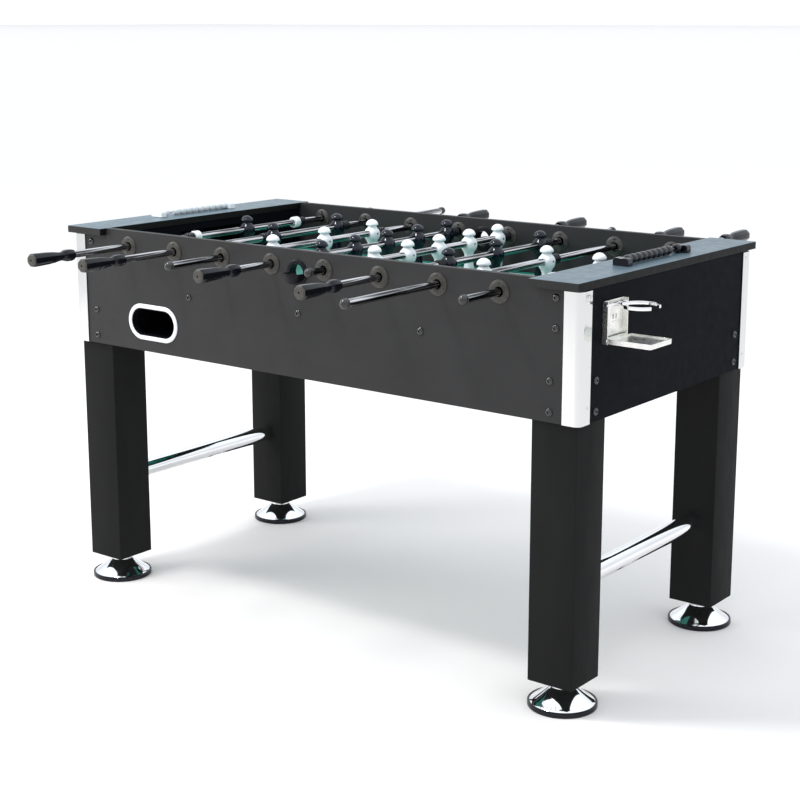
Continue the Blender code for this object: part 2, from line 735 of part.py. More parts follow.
# ---------------------------------------------------------------------------- build
def main():
    for item in list(bpy.data.objects):
        bpy.data.objects.remove(item)

    charcoal = make_material("charcoal_laminate", (0.030, 0.031, 0.033), 0.55)
    ledge_grey = make_material("ledge_laminate", (0.085, 0.100, 0.115), 0.35)
    green = make_material("pitch_green", (0.010, 0.190, 0.150), 0.40)
    chrome = make_material("chrome", (0.80, 0.80, 0.82), 0.12, 1.0)
    silver = make_material("silver_trim", (0.75, 0.76, 0.78), 0.28, 1.0)
    bezel_silver = make_material("bezel_silver", (0.85, 0.85, 0.87), 0.30, 0.6)
    black_plastic = make_material("black_plastic", (0.015, 0.016, 0.018), 0.35)
    white_plastic = make_material("white_plastic", (0.85, 0.86, 0.88), 0.30)
    grip_black = make_material("grip_black", (0.012, 0.013, 0.020), 0.25)
    rubber = make_material("bumper_rubber", (0.012, 0.012, 0.013), 0.60)
    rod_steel = make_material("rod_steel", (0.70, 0.71, 0.73), 0.18, 1.0)

    side_panel("front_side_panel", 0, charcoal)
    side_panel("back_side_panel", pi, charcoal)
    for word, side in (("left", -1), ("right", 1)):
        end_panel(f"{word}_end_panel", side, charcoal)
        goal_wall(f"{word}_goal_wall", side, charcoal)
        top_ledge(f"{word}_top_ledge", side, ledge_grey)
        return_tray(f"{word}_return_tray", side, black_plastic)
        stretcher(f"{word}_stretcher", side, chrome)
        scorer_material = black_plastic if side > 0 else white_plastic
        scorer(side, scorer_material)
        scorer_beads(side, scorer_material)
        for depth, side_y in (("front", -1), ("back", 1)):
            leg(f"{depth}_{word}_leg", side, side_y, charcoal)
            leveling_foot(f"{depth}_{word}_foot", side, side_y, chrome)
            corner_trim(f"{depth}_{word}_corner_trim", side, side_y, silver)
    playfield(green)
    return_bezel("front_return_bezel", -1, bezel_silver)
    return_bezel("back_return_bezel", 1, bezel_silver)
    serve_cup("front_serve_cup", 0, black_plastic)
    serve_cup("back_serve_cup", pi, black_plastic)

    for index, (kind_name, team, offset) in enumerate(RODS):
        number = index + 1
        kind = ROD_KINDS[kind_name]
        turn = 0 if team == "dark" else pi
        place = (rod_x(index), offset, ROD_Z)
        playing_rod(number, kind, turn, place, rod_steel)
        handle(number, kind, turn, place, grip_black)
        bumper(number, kind, turn, place, rubber)

    holder_plate(chrome)
    holder_hoop(chrome)
    holder_shelf(chrome)


main()
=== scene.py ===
"""Foosball table: the visual pieces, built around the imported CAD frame.

The origin is the centre of the playing surface, +X is towards the cup holder, +Y is
away from the near side and +Z is up. Lengths are in metres.
"""
import json
from math import cos, pi, radians, sin

import bmesh
import bpy
from mathutils import Matrix, Vector


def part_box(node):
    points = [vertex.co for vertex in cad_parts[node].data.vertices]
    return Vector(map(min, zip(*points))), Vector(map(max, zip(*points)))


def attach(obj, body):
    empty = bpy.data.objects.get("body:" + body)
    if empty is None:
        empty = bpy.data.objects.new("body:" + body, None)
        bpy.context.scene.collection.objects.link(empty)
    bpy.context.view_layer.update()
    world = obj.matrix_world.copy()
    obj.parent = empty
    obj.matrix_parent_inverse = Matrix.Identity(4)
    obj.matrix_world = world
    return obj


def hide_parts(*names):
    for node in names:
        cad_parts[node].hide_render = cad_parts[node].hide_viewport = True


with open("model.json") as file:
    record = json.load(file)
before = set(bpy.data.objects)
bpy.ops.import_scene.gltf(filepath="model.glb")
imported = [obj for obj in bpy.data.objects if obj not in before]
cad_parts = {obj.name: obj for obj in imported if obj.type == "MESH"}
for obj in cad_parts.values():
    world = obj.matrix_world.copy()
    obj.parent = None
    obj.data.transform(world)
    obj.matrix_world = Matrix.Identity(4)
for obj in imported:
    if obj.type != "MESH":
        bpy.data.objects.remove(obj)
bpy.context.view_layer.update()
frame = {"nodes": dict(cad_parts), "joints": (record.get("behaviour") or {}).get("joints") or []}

# --------------------------------------------------- faces and levels from the frame
PANEL_LOW, PANEL_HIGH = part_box("left_end_panel")
HALF_L = -PANEL_LOW.x
INNER_L = -PANEL_HIGH.x
BOARD = HALF_L - INNER_L
BOTTOM_Z = PANEL_LOW.z
LEDGE_LOW, LEDGE_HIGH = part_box("right_top_ledge")
TOP_Z = LEDGE_HIGH.z
TRIM_LOW, TRIM_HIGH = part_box("front_right_corner_trim")
HALF_W = 0.350
INNER_W = HALF_W - BOARD
FLOOR_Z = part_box("front_left_foot")[0].z
GAP = 0.0003

RODS = []
for joint in frame["joints"]:
    if joint["name"].endswith("_spin"):
        RODS.append(Vector(joint["pos_m"]))
ROD_Z = RODS[0].z
DARK_RODS = (1, 2, 4, 6)
GOALIE_RODS = (1, 8)
MEN_ON_ROD = {
    1: (0.0,), 2: (-0.119, 0.119), 3: (-0.180, 0.0, 0.180),
    4: (-0.235, -0.1175, 0.0, 0.1175, 0.235),
}
STOP_COLLAR_Y = 0.180
ROD_R = 0.00795
ROD_BORE_R = 0.0065
RUNNING_R = ROD_R + 0.0006   # bore of the bumper that runs loose on its rod
MAN_HALF_W = 0.018
MAN_FACE_X = 0.0171
BUMPER_R = 0.0115
BUMPER_LENGTH = 0.024
COLLAR_R = 0.014
COLLAR_HALF_L = 0.009
TUBE_INSIDE_GRIP = 0.020     # from a grip's closed end to the end of its tube
CAP_LENGTH = 0.016
BUSHING_R = 0.0104
FLANGE_R = 0.0235
CORNER_ROUND = 0.0105
GOAL_HALF_W = 0.105
GOAL_TOP_Z = 0.085
PITCH_T = 0.009
BATTEN_HALF_L = 0.345
BATTEN_W = 0.020

LEG_HALF = 0.0515
TENON_SIDE = 0.073
TENON_TOP_Z = -0.060
FOOT_BORE_R = 0.0070
FOOT_BORE_DEPTH = 0.060
STRETCHER_R = 0.0210
STRETCHER_WALL = 0.002

SCORER_RISE = 0.0100
SCORER_REACH = 0.130
SCORER_BLOCK_HALF_W = 0.018
SCORER_BLOCK_TOP = 0.006
SCORER_BLOCK = 0.0175
BEAD_PITCH = 0.0205

SERVE_Z = 0.071
SERVE_HOLE_R = 0.0225
SERVE_BORE_R = 0.0190
SERVE_FLANGE_R = 0.0280
SERVE_FLANGE_T = 0.003
SERVE_SCOOP_REACH = 0.030
SERVE_SCOOP_BEND = 0.014
BEZEL_LOW, BEZEL_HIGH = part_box("front_return_bezel")
BEZEL_RIM = 0.0105
PORT_X = -(BEZEL_LOW.x + BEZEL_HIGH.x) / 2
PORT_Z = (BEZEL_LOW.z + BEZEL_HIGH.z) / 2
PORT_HALF_L = (BEZEL_HIGH.x - BEZEL_LOW.x) / 2 - BEZEL_RIM
PORT_HALF_H = (BEZEL_HIGH.z - BEZEL_LOW.z) / 2 - BEZEL_RIM


# --------------------------------------------------------------------- mesh helpers
def skin(rings, ring_closed=False):
    """Join equal rings of points into one closed surface with capped ends."""
    shape = bmesh.new()
    loops = [[shape.verts.new(point) for point in ring] for ring in rings]
    count = len(loops[0])
    pairs = list(zip(loops, loops[1:]))
    if ring_closed:
        pairs.append((loops[-1], loops[0]))
    for low, high in pairs:
        for i in range(count):
            j = (i + 1) % count
            shape.faces.new((low[i], low[j], high[j], high[i]))
    if not ring_closed:
        shape.faces.new(reversed(loops[0]))
        shape.faces.new(loops[-1])
    bmesh.ops.recalc_face_normals(shape, faces=shape.faces)
    return shape


def circle(radius, height, segments):
    start = pi / segments
    step = 2 * pi / segments
    angles = [start + step * i for i in range(segments)]
    return [Vector((radius * cos(a), radius * sin(a), height)) for a in angles]


def turned(profile, segments=48, ring_closed=False):
    """Solid of revolution about +Z from (radius, height) points."""
    return skin([circle(r, h, segments) for r, h in profile], ring_closed)


def prism(outline, low, high):
    """Extrude an outline of (x, y) points from z low to z high."""
    return skin([[Vector((x, y, z)) for x, y in outline] for z in (low, high)])


def block(low, high):
    outline = ((low[0], low[1]), (high[0], low[1]), (high[0], high[1]), (low[0], high[1]))
    return prism(outline, low[2], high[2])


def moved(shape, offset=(0, 0, 0), turn=None):
    """Turn a shape about the origin, then shift it."""
    matrix = Matrix.Translation(Vector(offset))
    if turn:
        matrix = matrix @ Matrix.Rotation(turn[0], 4, turn[1])
    bmesh.ops.transform(shape, matrix=matrix, verts=shape.verts)
    return shape


def along_y(shape):
    return moved(shape, turn=(-pi / 2, "X"))


def stadium(half_length, half_height, steps=16):
    """Outline of a slot with round ends, lying along x."""
    reach = half_length - half_height
    points = []
    for side in (1, -1):
        for i in range(steps + 1):
            a = pi * i / steps - side * pi / 2
            points.append((side * reach + half_height * cos(a), half_height * sin(a)))
    return points


def merged(shapes):
    """One bmesh that holds several shapes."""
    whole = bmesh.new()
    for shape in shapes:
        part = bpy.data.meshes.new("part")
        shape.to_mesh(part)
        shape.free()
        whole.from_mesh(part)
        bpy.data.meshes.remove(part)
    return whole


def rounded_profile(radius, low, high, edge):
    """Side profile of a disc whose two rims are rounded."""
    points = []
    for i in range(5):
        a = pi / 2 * i / 4
        points.append((radius - edge + edge * sin(a), low + edge - edge * cos(a)))
    for i in range(5):
        a = pi / 2 * i / 4
        points.append((radius - edge + edge * cos(a), high - edge + edge * sin(a)))
    return points


def to_mesh(name, shape):
    mesh = bpy.data.meshes.new(name)
    shape.to_mesh(mesh)
    shape.free()
    mesh.shade_smooth()
    return mesh


def coated(mesh, *materials):
    """Give a mesh these materials in place of any it has."""
    mesh.materials.clear()
    for material in materials:
        mesh.materials.append(material)
    return mesh


def place_piece(name, mesh, body="table", location=(0, 0, 0), turn=0.0, bevel=0.0,
                stands_for=(), sharp=0.6):
    """Put a mesh in the scene, round its edges, and let it ride on a body."""
    item = bpy.data.objects.new(name, mesh)
    item.location = location
    item.rotation_euler.z = turn
    bpy.context.scene.collection.objects.link(item)
    if bevel:
        rounding = item.modifiers.new("rounded_edges", "BEVEL")
        rounding.width = bevel
        rounding.segments = 2
        rounding.limit_method = "ANGLE"
        rounding.angle_limit = sharp
        rounding.harden_normals = True
    else:
        mesh.set_sharp_from_angle(angle=sharp)
    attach(item, body)
    if stands_for:
        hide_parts(*stands_for)
    return item


def piece(name, shape, material, body="table", **settings):
    return place_piece(name, coated(to_mesh(name, shape), material), body, **settings)


def combine(mesh, tools, operation="DIFFERENCE"):
    """Exact Boolean of a mesh with several tool shapes, as a new mesh."""
    target = bpy.data.objects.new("target", mesh)
    tool = bpy.data.objects.new("tool", to_mesh("tools", merged(tools)))
    for item in (target, tool):
        bpy.context.scene.collection.objects.link(item)
    modifier = target.modifiers.new("cut", "BOOLEAN")
    modifier.operation = operation
    modifier.solver = "EXACT"
    modifier.use_self = operation == "UNION"
    modifier.object = tool
    graph = bpy.context.evaluated_depsgraph_get()
    result = bpy.data.meshes.new_from_object(target.evaluated_get(graph))
    result.name = mesh.name
    bpy.data.objects.remove(target)
    bpy.data.objects.remove(tool)
    result.shade_smooth()
    return result


# ----------------------------------------------------------------------- materials
def surface(name, slot, base, roughness, metallic=0.0, spread=0.15, patch=9.0, grain=900.0,
            bump=0.04, rough_spread=0.06, stretch=(1.0, 1.0, 1.0), specular=0.5, band=(0.3, 0.7)):
    """A finish with slow colour patches, a roughness that varies and a fine grain."""
    material = bpy.data.materials.new(name)
    material["slot"] = slot
    material.use_nodes = True
    nodes = material.node_tree.nodes
    link = material.node_tree.links.new
    shader = nodes["Principled BSDF"]
    shader.inputs["Metallic"].default_value = metallic
    shader.inputs["Specular IOR Level"].default_value = specular
    place = nodes.new("ShaderNodeTexCoord")
    mapping = nodes.new("ShaderNodeMapping")
    mapping.inputs["Scale"].default_value = stretch
    link(place.outputs["Object"], mapping.inputs["Vector"])

    def noise(scale, detail):
        texture = nodes.new("ShaderNodeTexNoise")
        texture.inputs["Scale"].default_value = scale
        texture.inputs["Detail"].default_value = detail
        link(mapping.outputs["Vector"], texture.inputs["Vector"])
        return texture.outputs["Fac"]

    slow = noise(patch, 5.0)
    colour = nodes.new("ShaderNodeValToRGB")
    colour.color_ramp.elements[0].position = band[0]
    colour.color_ramp.elements[0].color = (*[c * (1 - spread) for c in base], 1)
    colour.color_ramp.elements[1].position = band[1]
    colour.color_ramp.elements[1].color = (*[min(c * (1 + spread), 1) for c in base], 1)
    link(slow, colour.inputs["Fac"])
    link(colour.outputs["Color"], shader.inputs["Base Color"])
    gloss = nodes.new("ShaderNodeMapRange")
    gloss.inputs["From Min"].default_value = 0.3
    gloss.inputs["From Max"].default_value = 0.7
    gloss.inputs["To Min"].default_value = max(roughness - rough_spread, 0.02)
    gloss.inputs["To Max"].default_value = roughness + rough_spread
    link(noise(patch * 6, 6.0), gloss.inputs["Value"])
    link(gloss.outputs["Result"], shader.inputs["Roughness"])
    relief = nodes.new("ShaderNodeBump")
    relief.inputs["Strength"].default_value = bump
    relief.inputs["Distance"].default_value = 0.0006
    link(noise(grain, 3.0), relief.inputs["Height"])
    link(relief.outputs["Normal"], shader.inputs["Normal"])
    return material


charcoal = surface("charcoal_board", "charcoal_laminate", (0.0222, 0.0219, 0.0221), 0.50,
                   bump=0.10, spread=0.10, specular=0.25)
# painted shade: a darker copy of the board laminate for the end boards and goal walls, which face
# along x away from the key light
end_laminate_painted_shade = surface("end_board_painted_shade", "end_laminate", (0.0040, 0.0046, 0.0066), 0.45, bump=0.10,
                    spread=0.12, specular=0.02)
leg_black = surface("leg_board", "leg_laminate", (0.0150, 0.0150, 0.0150), 0.48, bump=0.10,
                    spread=0.15, stretch=(1, 1, 0.3), specular=0.03)
# top face of the ledge: the laminate's own tone plus painted sheen, much lighter than the same
# board's edges to stand in for reflection at a low angle
ledge_top_painted_sheen = surface("ledge_face_painted_sheen", "ledge_laminate", (0.085, 0.130, 0.160), 0.34, bump=0.08,
                    spread=0.08, specular=0.3)
ledge_edge = surface("ledge_edge", "ledge_edge", (0.0170, 0.0172, 0.0160), 0.50, bump=0.06,
                     specular=0.25)
# painted shade: a darker copy of the ledge edge finish, laid on the ledge faces that face along x
ledge_end_painted_shade = surface("ledge_end_edge_painted_shade", "ledge_edge", (0.0050, 0.0052, 0.0052), 0.50, bump=0.06,
                    specular=0.12)
pitch_green = surface("pitch_face", "pitch_board", (0.010, 0.200, 0.150), 0.38, bump=0.05,
                      spread=0.08)
pitch_white = surface("pitch_marking", "pitch_marking", (0.80, 0.82, 0.82), 0.40, bump=0.05,
                      spread=0.04)
chrome = surface("chrome_plate", "chrome", (0.90, 0.90, 0.91), 0.06, 1.0, spread=0.03,
                 rough_spread=0.03, bump=0.010, grain=300)
# painted reflection: the blotchy cream and brown colour patches stand in for the room reflected
# in the plated sheet
holder_metal_painted_reflections = surface("holder_plate_metal_painted_reflections", "chrome", (0.87, 0.86, 0.82), 0.32, 1.0,
                       spread=0.14, patch=55, rough_spread=0.10, bump=0.02, grain=300)
# painted reflection: the colour ramp lays bright and dark streaks along the tubes, standing in
# for the room reflected in polished steel
rod_steel = surface("polished_tube_painted_reflections", "rod_steel", (0.36, 0.35, 0.36), 0.12, 1.0, spread=0.88,
                    patch=240, bump=0.03, rough_spread=0.05, stretch=(1, 0.02, 1),
                    band=(0.42, 0.58))
trim_silver = surface("trim_metal", "silver_trim", (0.75, 0.75, 0.74), 0.12, 1.0, spread=0.04,
                      bump=0.03, rough_spread=0.04, stretch=(1, 1, 0.03))
port_white = surface("port_rim_paint", "bezel_silver", (0.80, 0.80, 0.82), 0.30, spread=0.04,
                     bump=0.03)
black_moulded = surface("black_moulding", "black_plastic", (0.005, 0.005, 0.007), 0.30,
                        bump=0.06, spread=0.2, specular=0.15)
bead_black = surface("bead_moulding", "black_plastic", (0.004, 0.004, 0.007), 0.12,
                     bump=0.02, patch=60, spread=0.2, specular=0.5)
bearing_grey = surface("bearing_moulding", "bearing_grey", (0.040, 0.037, 0.031), 0.40,
                       bump=0.10, patch=90, spread=0.40, specular=0.35)
bearing_dark = surface("inner_bearing_moulding", "bearing_grey", (0.044, 0.042, 0.038), 0.34,
                       bump=0.10, patch=90, spread=0.50, specular=0.5)
white_moulded = surface("white_moulding", "white_plastic", (0.86, 0.88, 0.90), 0.24,
                        bump=0.03, spread=0.03)
figure_dark = surface("figure_dark", "figure_navy", (0.004, 0.006, 0.014), 0.12, bump=0.02,
                      patch=80, spread=0.15, specular=0.36)
figure_white = surface("figure_white", "figure_white", (0.90, 0.92, 0.95), 0.26, bump=0.03,
                       patch=80, spread=0.03)
grip_black = surface("grip_moulding", "grip_black", (0.004, 0.0045, 0.007), 0.14, bump=0.02,
                     patch=60, spread=0.2, specular=0.30)
rubber = surface("bumper_moulding", "bumper_rubber", (0.006, 0.006, 0.010), 0.18, bump=0.04,
                 patch=60, spread=0.2, specular=0.25)
screw_black = surface("screw_metal", "screw_black", (0.004, 0.004, 0.004), 0.10, bump=0.02,
                      patch=90, specular=0.8, rough_spread=0.03)
# painted highlight: a lighter copy of the bumper rubber for the rod end caps, lifted to stand in
# for their highlight
cap_rubber_painted_highlight = surface("end_cap_rubber_painted_highlight", "bumper_rubber", (0.022, 0.021, 0.020), 0.24,
                     bump=0.03, patch=60, spread=0.2, specular=0.55)
# painted light: a lighter, browner copy of the grip moulding for the grips' end faces, standing
# in for the light and reflection they catch
grip_end_painted_light = surface("grip_end_face_painted_light", "grip_black", (0.060, 0.056, 0.048), 0.45, bump=0.06,
                   patch=90, spread=0.2, specular=0.3)


# ------------------------------------------------------------------- small hardware
def button_screw(radius, height, socket):
    """Domed screw head with a hexagon socket, pointing along +Z."""
    profile = [(radius, -0.002), (radius, 0.0004)]
    for i in range(1, 7):
        a = pi / 2 * i / 7
        profile.append((radius * cos(a), 0.0004 + (height - 0.0004) * sin(a)))
    head = to_mesh("head", turned(profile, 32))
    recess = turned(((socket, height * 0.45), (socket, height * 2)), 6)
    cut = combine(head, [recess])
    shape = bmesh.new()
    shape.from_mesh(cut)
    return shape


def cross_screw(radius, height):
    """Small pan-head screw with a cross recess, pointing along +Z."""
    profile = [(radius, -0.001), (radius, height * 0.3)]
    for i in range(1, 5):
        a = pi / 2 * i / 5
        profile.append((radius * cos(a), height * (0.3 + 0.7 * sin(a))))
    head = to_mesh("head", turned(profile, 20))
    wide, thin, low = radius * 0.62, radius * 0.15, height * 0.45
    cut = combine(head, [block((-wide, -thin, low), (wide, thin, height * 2))])
    cut = combine(cut, [block((-thin, -wide, low), (thin, wide, height * 2))])
    shape = bmesh.new()
    shape.from_mesh(cut)
    return shape


bolt_mesh = coated(to_mesh("button_bolt", button_screw(0.0080, 0.0044, 0.0030)), screw_black)
screw_mesh = coated(to_mesh("flange_screw", cross_screw(0.0026, 0.0012)), screw_black)
trim_screw_mesh = coated(to_mesh("trim_screw", cross_screw(0.0036, 0.0016)), trim_silver)
rivet_profile = [(0.0026, -0.0008), (0.0026, 0.0004), (0.0018, 0.0011)]
rivet_mesh = coated(to_mesh("rivet", turned(rivet_profile, 20)), chrome)


def fasten(name, mesh, position, direction, body="table"):
    """Put one screw head on a face, pointing out along the face's normal."""
    item = place_piece(name, mesh, body, location=position)
    world = Vector((0, 0, 1)).rotation_difference(Vector(direction)).to_matrix().to_4x4()
    item.matrix_world = Matrix.Translation(Vector(position)) @ world
    return item


# ------------------------------------------------------------------------- cabinet
def side_board(name, side, stands_for):
    """Long side of the cabinet with its rod holes, entry hole and return port."""
    notch_x = LEDGE_LOW.x - GAP
    notch_z = LEDGE_LOW.z - GAP
    outline = [
        (-HALF_L, BOTTOM_Z), (HALF_L, BOTTOM_Z), (HALF_L, notch_z), (notch_x, notch_z),
        (notch_x, TOP_Z), (-notch_x, TOP_Z), (-notch_x, notch_z), (-HALF_L, notch_z),
    ]
    board = moved(prism(outline, INNER_W, HALF_W), turn=(pi / 2, "X"))
    corners = [
        edge for edge in board.edges
        if all(abs(v.co.y + HALF_W) < GAP and abs(abs(v.co.x) - HALF_L) < GAP
               for v in edge.verts)
        and abs(edge.verts[0].co.z - edge.verts[1].co.z) > BOARD
    ]
    bmesh.ops.bevel(board, geom=corners, offset=CORNER_ROUND, segments=5, profile=0.5,
                    affect="EDGES")
    middle = -(HALF_W + INNER_W) / 2
    holes = []
    for rod in RODS:
        hole = turned(((BUSHING_R, middle - BOARD), (BUSHING_R, middle + BOARD)), 32)
        holes.append(moved(along_y(hole), (rod.x, 0, ROD_Z)))
    serve = turned(((SERVE_HOLE_R, middle - BOARD), (SERVE_HOLE_R, middle + BOARD)))
    holes.append(moved(along_y(serve), (0, 0, SERVE_Z)))
    port = prism(stadium(PORT_HALF_L, PORT_HALF_H), -middle - BOARD, -middle + BOARD)
    holes.append(moved(moved(port, turn=(pi / 2, "X")), (-PORT_X, 0, PORT_Z)))
    mesh = combine(to_mesh(name, board), holes)
    coated(mesh, charcoal)
    place_piece(name, mesh, turn=0 if side < 0 else pi, bevel=0.0008, stands_for=stands_for)


def build_cabinet():
    side_board("front_side_board", -1, ("front_side_panel",))
    side_board("back_side_board", 1, ("back_side_panel",))
    for word, side in (("left", -1), ("right", 1)):
        for name in ("end_panel", "goal_wall"):
            low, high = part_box(f"{word}_{name}")
            if name == "end_panel":
                shape = block(low, high)
            else:
                half, top = GOAL_HALF_W, GOAL_TOP_Z
                outline = [
                    (low.y, low.z), (-half, low.z), (-half, top), (half, top),
                    (half, low.z), (high.y, low.z), (high.y, high.z), (low.y, high.z),
                ]
                shape = skin([[Vector((x, y, z)) for y, z in outline]
                              for x in (low.x, high.x)])
            # end boards and goal walls take the darker laminate: painted shade
            piece(f"{word}_{name}_board", shape, end_laminate_painted_shade,
                  bevel=0.0008, stands_for=(f"{word}_{name}",))
        low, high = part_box(f"{word}_top_ledge")
        ledge = piece(f"{word}_ledge_board", block(low, high), ledge_top_painted_sheen, bevel=0.0012,
                      stands_for=(f"{word}_top_ledge",))
        coated(ledge.data, ledge_top_painted_sheen, ledge_edge, ledge_end_painted_shade)
        # faces along x take the darker copy of the edge finish: painted shade
        for face in ledge.data.polygons:
            along = abs(face.normal.x) > 0.5
            face.material_index = 0 if face.normal.z > 0.5 else 2 if along else 1


def build_trims():
    arm, thick, bend, steps = 0.036, 0.0027, 0.014, 12
    outer = GAP + thick
    centre = outer - bend
    outline = [(outer, -arm), (GAP, -arm)]
    for i in range(steps + 1):
        a = pi / 2 * i / steps
        outline.append((centre + (bend - thick) * cos(a), centre + (bend - thick) * sin(a)))
    outline += [(-arm, GAP), (-arm, outer)]
    for i in range(steps + 1):
        a = pi / 2 - pi / 2 * i / steps
        outline.append((centre + bend * cos(a), centre + bend * sin(a)))
    for depth, sy in (("front", -1), ("back", 1)):
        for word, sx in (("left", -1), ("right", 1)):
            placed = [(sx * (HALF_L + u), sy * (HALF_W + v)) for u, v in outline]
            shape = prism(placed, TRIM_LOW.z, TRIM_HIGH.z)
            name = f"{depth}_{word}_corner"
            piece(f"{name}_profile", shape, trim_silver, bevel=0.0006,
                  stands_for=(f"{name}_trim",))
            for level, drop in (("upper", 0.012), ("lower", 0.225)):
                spot = (sx * (HALF_L + outer), sy * (HALF_W - 0.024), TRIM_HIGH.z - drop)
                fasten(f"{name}_{level}_screw", trim_screw_mesh, spot, (sx, 0, 0))


def build_pitch():
    low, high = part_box("playfield")
    board = block((low.x, low.y, -PITCH_T), (high.x, high.y, 0))
    battens = []
    for side in (-1, 1):
        ys = sorted((side * high.y, side * (high.y - BATTEN_W)))
        battens.append(block((-BATTEN_HALF_L, ys[0], low.z),
                             (BATTEN_HALF_L, ys[1], -PITCH_T / 2)))
    mesh = combine(to_mesh("pitch", board), battens, "UNION")
    coated(mesh, pitch_green)
    place_piece("pitch", mesh, bevel=0.0006, stands_for=("playfield",))
    line, lift = 0.0035, 0.00012
    strips = []

    def strip(x0, x1, y0, y1):
        strips.append(block((min(x0, x1), min(y0, y1), -lift), (max(x0, x1), max(y0, y1), lift)))

    half = line / 2
    edge_x, edge_y, circle_r, spot_r, spot_x = 0.565, 0.305, 0.088, 0.006, 0.440
    strip(-half, half, -edge_y, edge_y)
    for side in (-1, 1):
        strip(-edge_x, edge_x, side * edge_y - half, side * edge_y + half)
        strip(side * edge_x - half, side * edge_x + half, -edge_y, edge_y)
        for reach, depth in ((0.170, 0.165), (0.110, 0.085)):
            inner = side * (edge_x - depth)
            strip(inner - half, inner + half, -reach, reach)
            for edge in (-1, 1):
                strip(side * edge_x, inner, edge * reach - half, edge * reach + half)
    piece("pitch_lines", merged(strips), pitch_white)
    inner, outer = circle_r - half, circle_r + half
    ring = turned(((inner, -lift), (outer, -lift), (outer, lift), (inner, lift)), 96,
                  ring_closed=True)
    spots = [moved(turned(((spot_r, -lift), (spot_r, lift)), 32), (x, 0, 0))
             for x in (-spot_x, 0.0, spot_x)]
    piece("pitch_circle_and_spots", merged([ring] + spots), pitch_white)


# --------------------------------------------------------- ball return and ball entry
def slot_ring(sections, face):
    """Ring round the port from (growth of the outline, height off the panel) points."""
    rings = []
    for grow, out in sections:
        outline = stadium(PORT_HALF_L + grow, PORT_HALF_H + grow, 24)
        rings.append([Vector((x - PORT_X, -(face + out), PORT_Z + z)) for x, z in outline])
    return skin(rings, ring_closed=True)


def build_openings():
    for depth, turn in (("front", 0), ("back", pi)):
        face = HALF_W + GAP
        sections = ((0.0004, 0.0), (0.0004, 0.0012), (0.0014, 0.0024), (0.0034, 0.0030),
                    (0.0074, 0.0029), (0.0094, 0.0021), (BEZEL_RIM, 0.0008), (BEZEL_RIM, 0.0))
        piece(f"{depth}_port_rim", slot_ring(sections, face), port_white, turn=turn,
              stands_for=(f"{depth}_return_bezel",))
        sections = ((-0.0014, 0.0006), (-0.0003, 0.0006), (-0.0003, -BOARD), (-0.0014, -BOARD))
        piece(f"{depth}_port_liner", slot_ring(sections, face), black_moulded, turn=turn)
        serve_cup(depth, turn)
        for i, rod in enumerate(RODS):
            bearing(f"{depth}_bearing_{i + 1}", rod.x, turn)
    for word in ("left", "right"):
        tray = frame["nodes"][f"{word}_return_tray"]
        coated(tray.data, black_moulded)


def bowl_end(radius, tip, depth):
    """Rounded closed end of a bowl, from its tip to its full radius."""
    points = []
    for i in range(1, 11):
        a = pi / 2 * i / 10
        points.append((radius * sin(a) ** 0.75, tip + depth * (1 - cos(a))))
    return points


def serve_cup(depth, turn):
    """Half-bowl scoop outside the board, its sleeve, and a ring on the inner face."""
    face = -HALF_W - GAP
    front = face - SERVE_FLANGE_T
    tip = face - SERVE_SCOOP_REACH
    radius = SERVE_HOLE_R - GAP
    profile = bowl_end(radius, tip, SERVE_SCOOP_BEND)
    profile += [(radius, front + 0.0002), (SERVE_FLANGE_R - 0.002, front),
                (SERVE_FLANGE_R, front + 0.0012), (SERVE_FLANGE_R, face), (radius, face),
                (radius, -INNER_W - GAP)]
    mesh = to_mesh(f"{depth}_entry_cup", along_y(turned(profile, 64)))
    wall, bend = 0.003, 0.012
    inside = bowl_end(SERVE_BORE_R, tip + wall, bend) + [(SERVE_BORE_R, 0)]
    bore = along_y(turned(inside, 64))
    upper = block((-HALF_L, tip - BOARD, 0), (HALF_L, front - GAP, BOARD * 4))
    mesh = combine(combine(mesh, [bore]), [upper])
    coated(mesh, black_moulded)
    place_piece(f"{depth}_entry_cup", mesh, location=(0, 0, SERVE_Z), turn=turn,
                bevel=0.0006, stands_for=(f"{depth}_serve_cup",))
    inner = -INNER_W + GAP
    wide = SERVE_FLANGE_R + 0.003
    ring = turned(((SERVE_BORE_R, inner), (wide, inner), (wide, inner + 0.0012),
                   (wide - 0.0015, inner + 0.0022), (SERVE_BORE_R, inner + 0.0022)),
                  64, ring_closed=True)
    piece(f"{depth}_entry_ring", moved(along_y(ring), (0, 0, SERVE_Z)), black_moulded, turn=turn)


